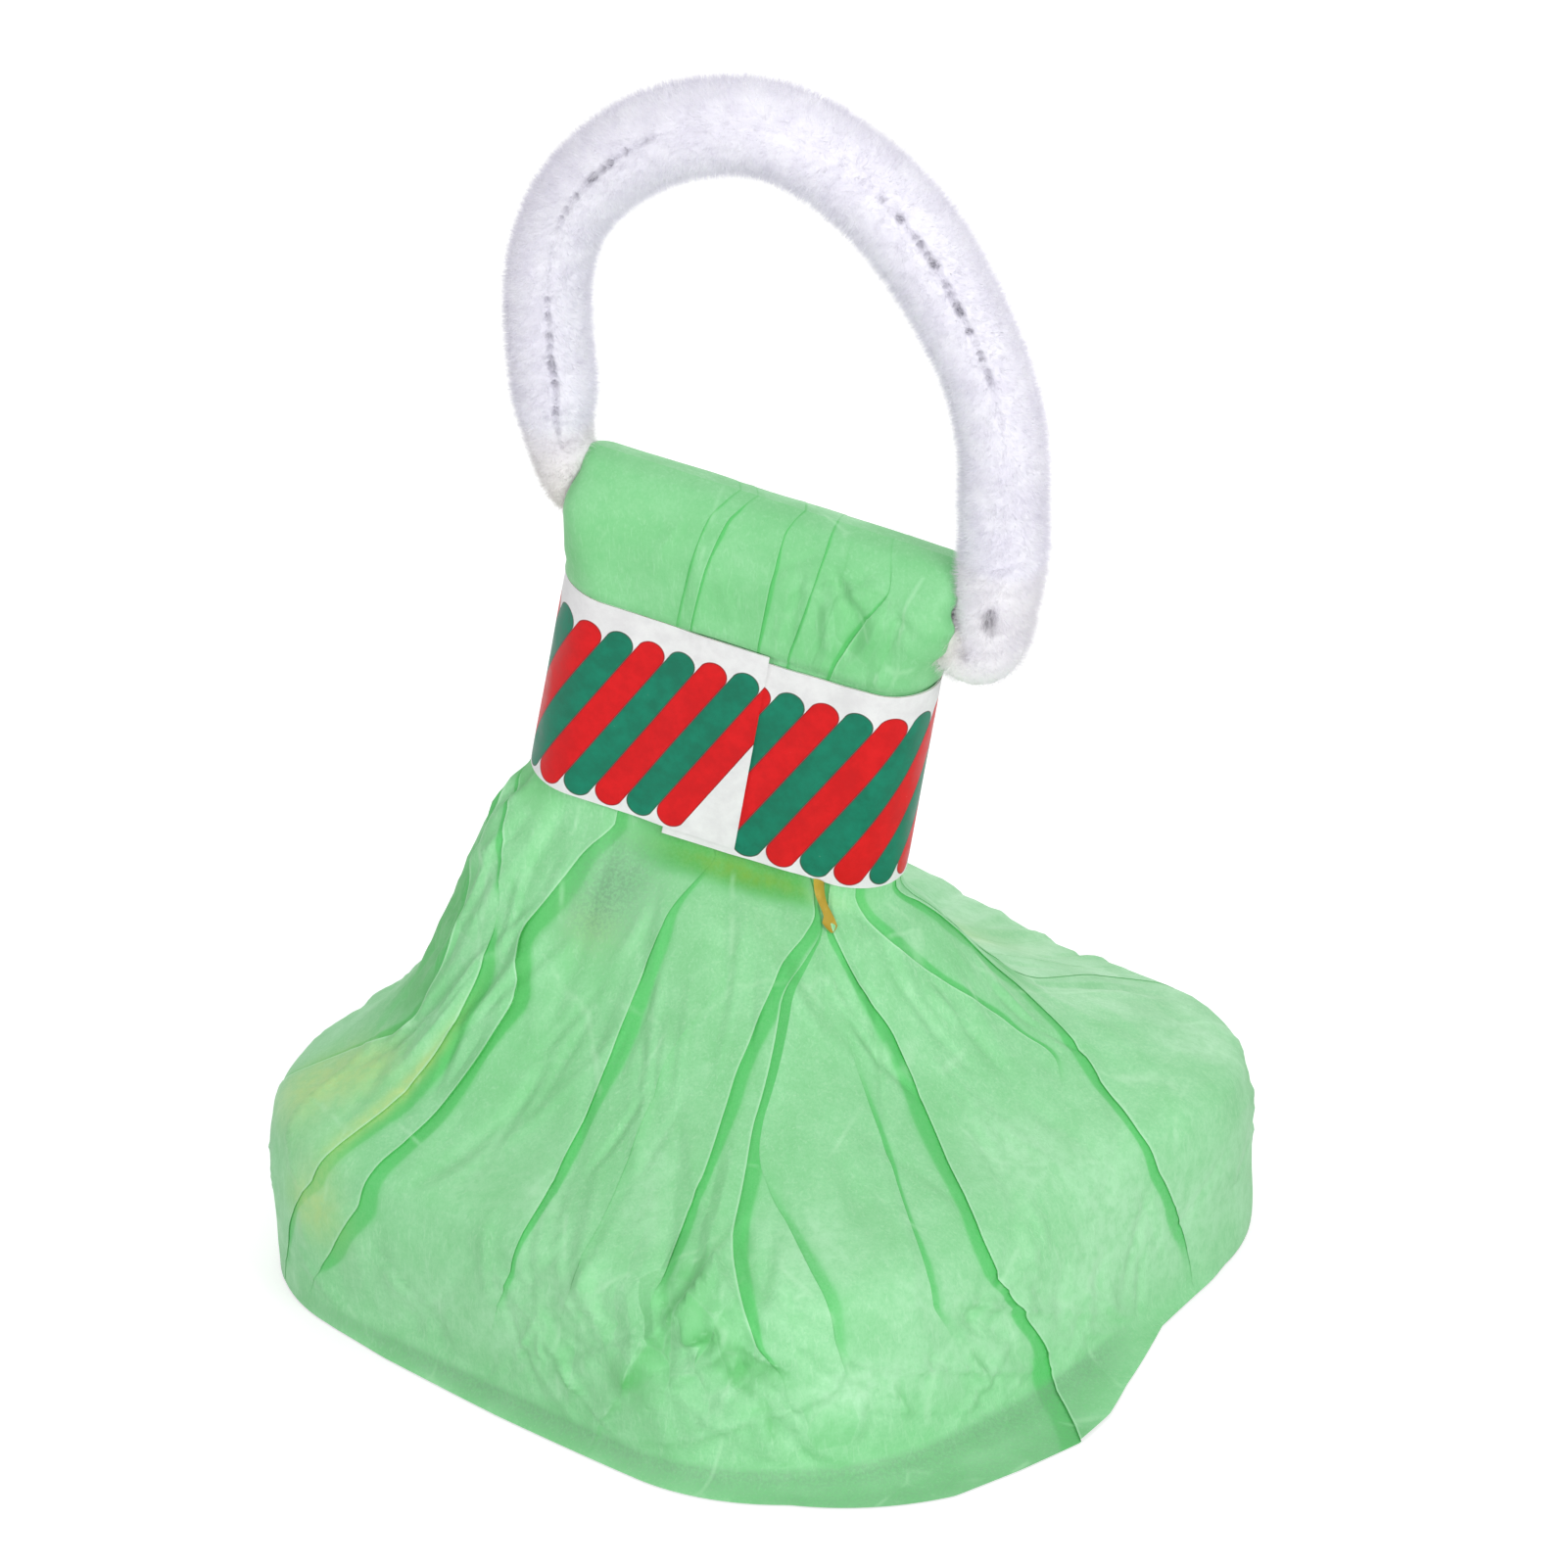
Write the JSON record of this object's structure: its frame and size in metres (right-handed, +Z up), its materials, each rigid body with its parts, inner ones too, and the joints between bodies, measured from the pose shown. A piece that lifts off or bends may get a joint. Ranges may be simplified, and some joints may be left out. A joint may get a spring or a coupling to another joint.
{
  "type": "throw streamer",
  "caption": "Hand-thrown party streamer: coiled paper strips in a gathered green tissue wrapper with a striped paper band and a white chenille finger loop.",
  "frame": {"origin": "centre of the base on the surface the streamer stands on", "axes": "+Z up through the pack; the finger loop and the flat of the neck face -Y, and the neck leans towards +X"},
  "size_m": [0.0544, 0.0544, 0.078],
  "materials": {
    "tissue": "translucent green tissue with soft gathers",
    "label": "white paper with slanted red and green stripes",
    "chenille": "soft white pile",
    "wire": "thin twisted wire",
    "paper_pink": "thin coloured paper",
    "paper_blue": "thin coloured paper",
    "paper_yellow": "thin coloured paper",
    "paper_purple": "thin coloured paper",
    "paper_orange": "thin coloured paper",
    "paper_red": "thin coloured paper",
    "paper_light_blue": "thin coloured paper"
  },
  "bodies": {
    "wrapper": {"wrapper": "tissue", "label_band": "label", "strip_1": "paper_pink", "strip_2": "paper_blue", "strip_3": "paper_yellow", "strip_4": "paper_purple", "strip_5": "paper_orange", "strip_6": "paper_red", "strip_7": "paper_yellow", "strip_8": "paper_light_blue"},
    "finger_loop": {"loop_pile": "chenille", "loop_wire_a": "wire", "loop_wire_b": "wire"},
    "streamer_pack": {"wrapper_base": "tissue", "coil_1": "paper_pink", "coil_2": "paper_blue", "coil_3": "paper_yellow", "coil_4": "paper_purple", "coil_5": "paper_orange", "coil_6": "paper_red", "coil_7": "paper_yellow", "coil_8": "paper_light_blue"}
  },
  "joints": [
    {"name": "loop_swing", "type": "hinge", "parent": "wrapper", "child": "finger_loop", "pos_m": [0.00228, 0, 0.04617], "axis": [0.9781, 0, -0.2079], "range_deg": [-90, 90]},
    {"name": "throw_out", "type": "slide", "parent": "wrapper", "child": "streamer_pack", "axis": [0, 0, -1], "range_m": [0, 0.045]}
  ]
}
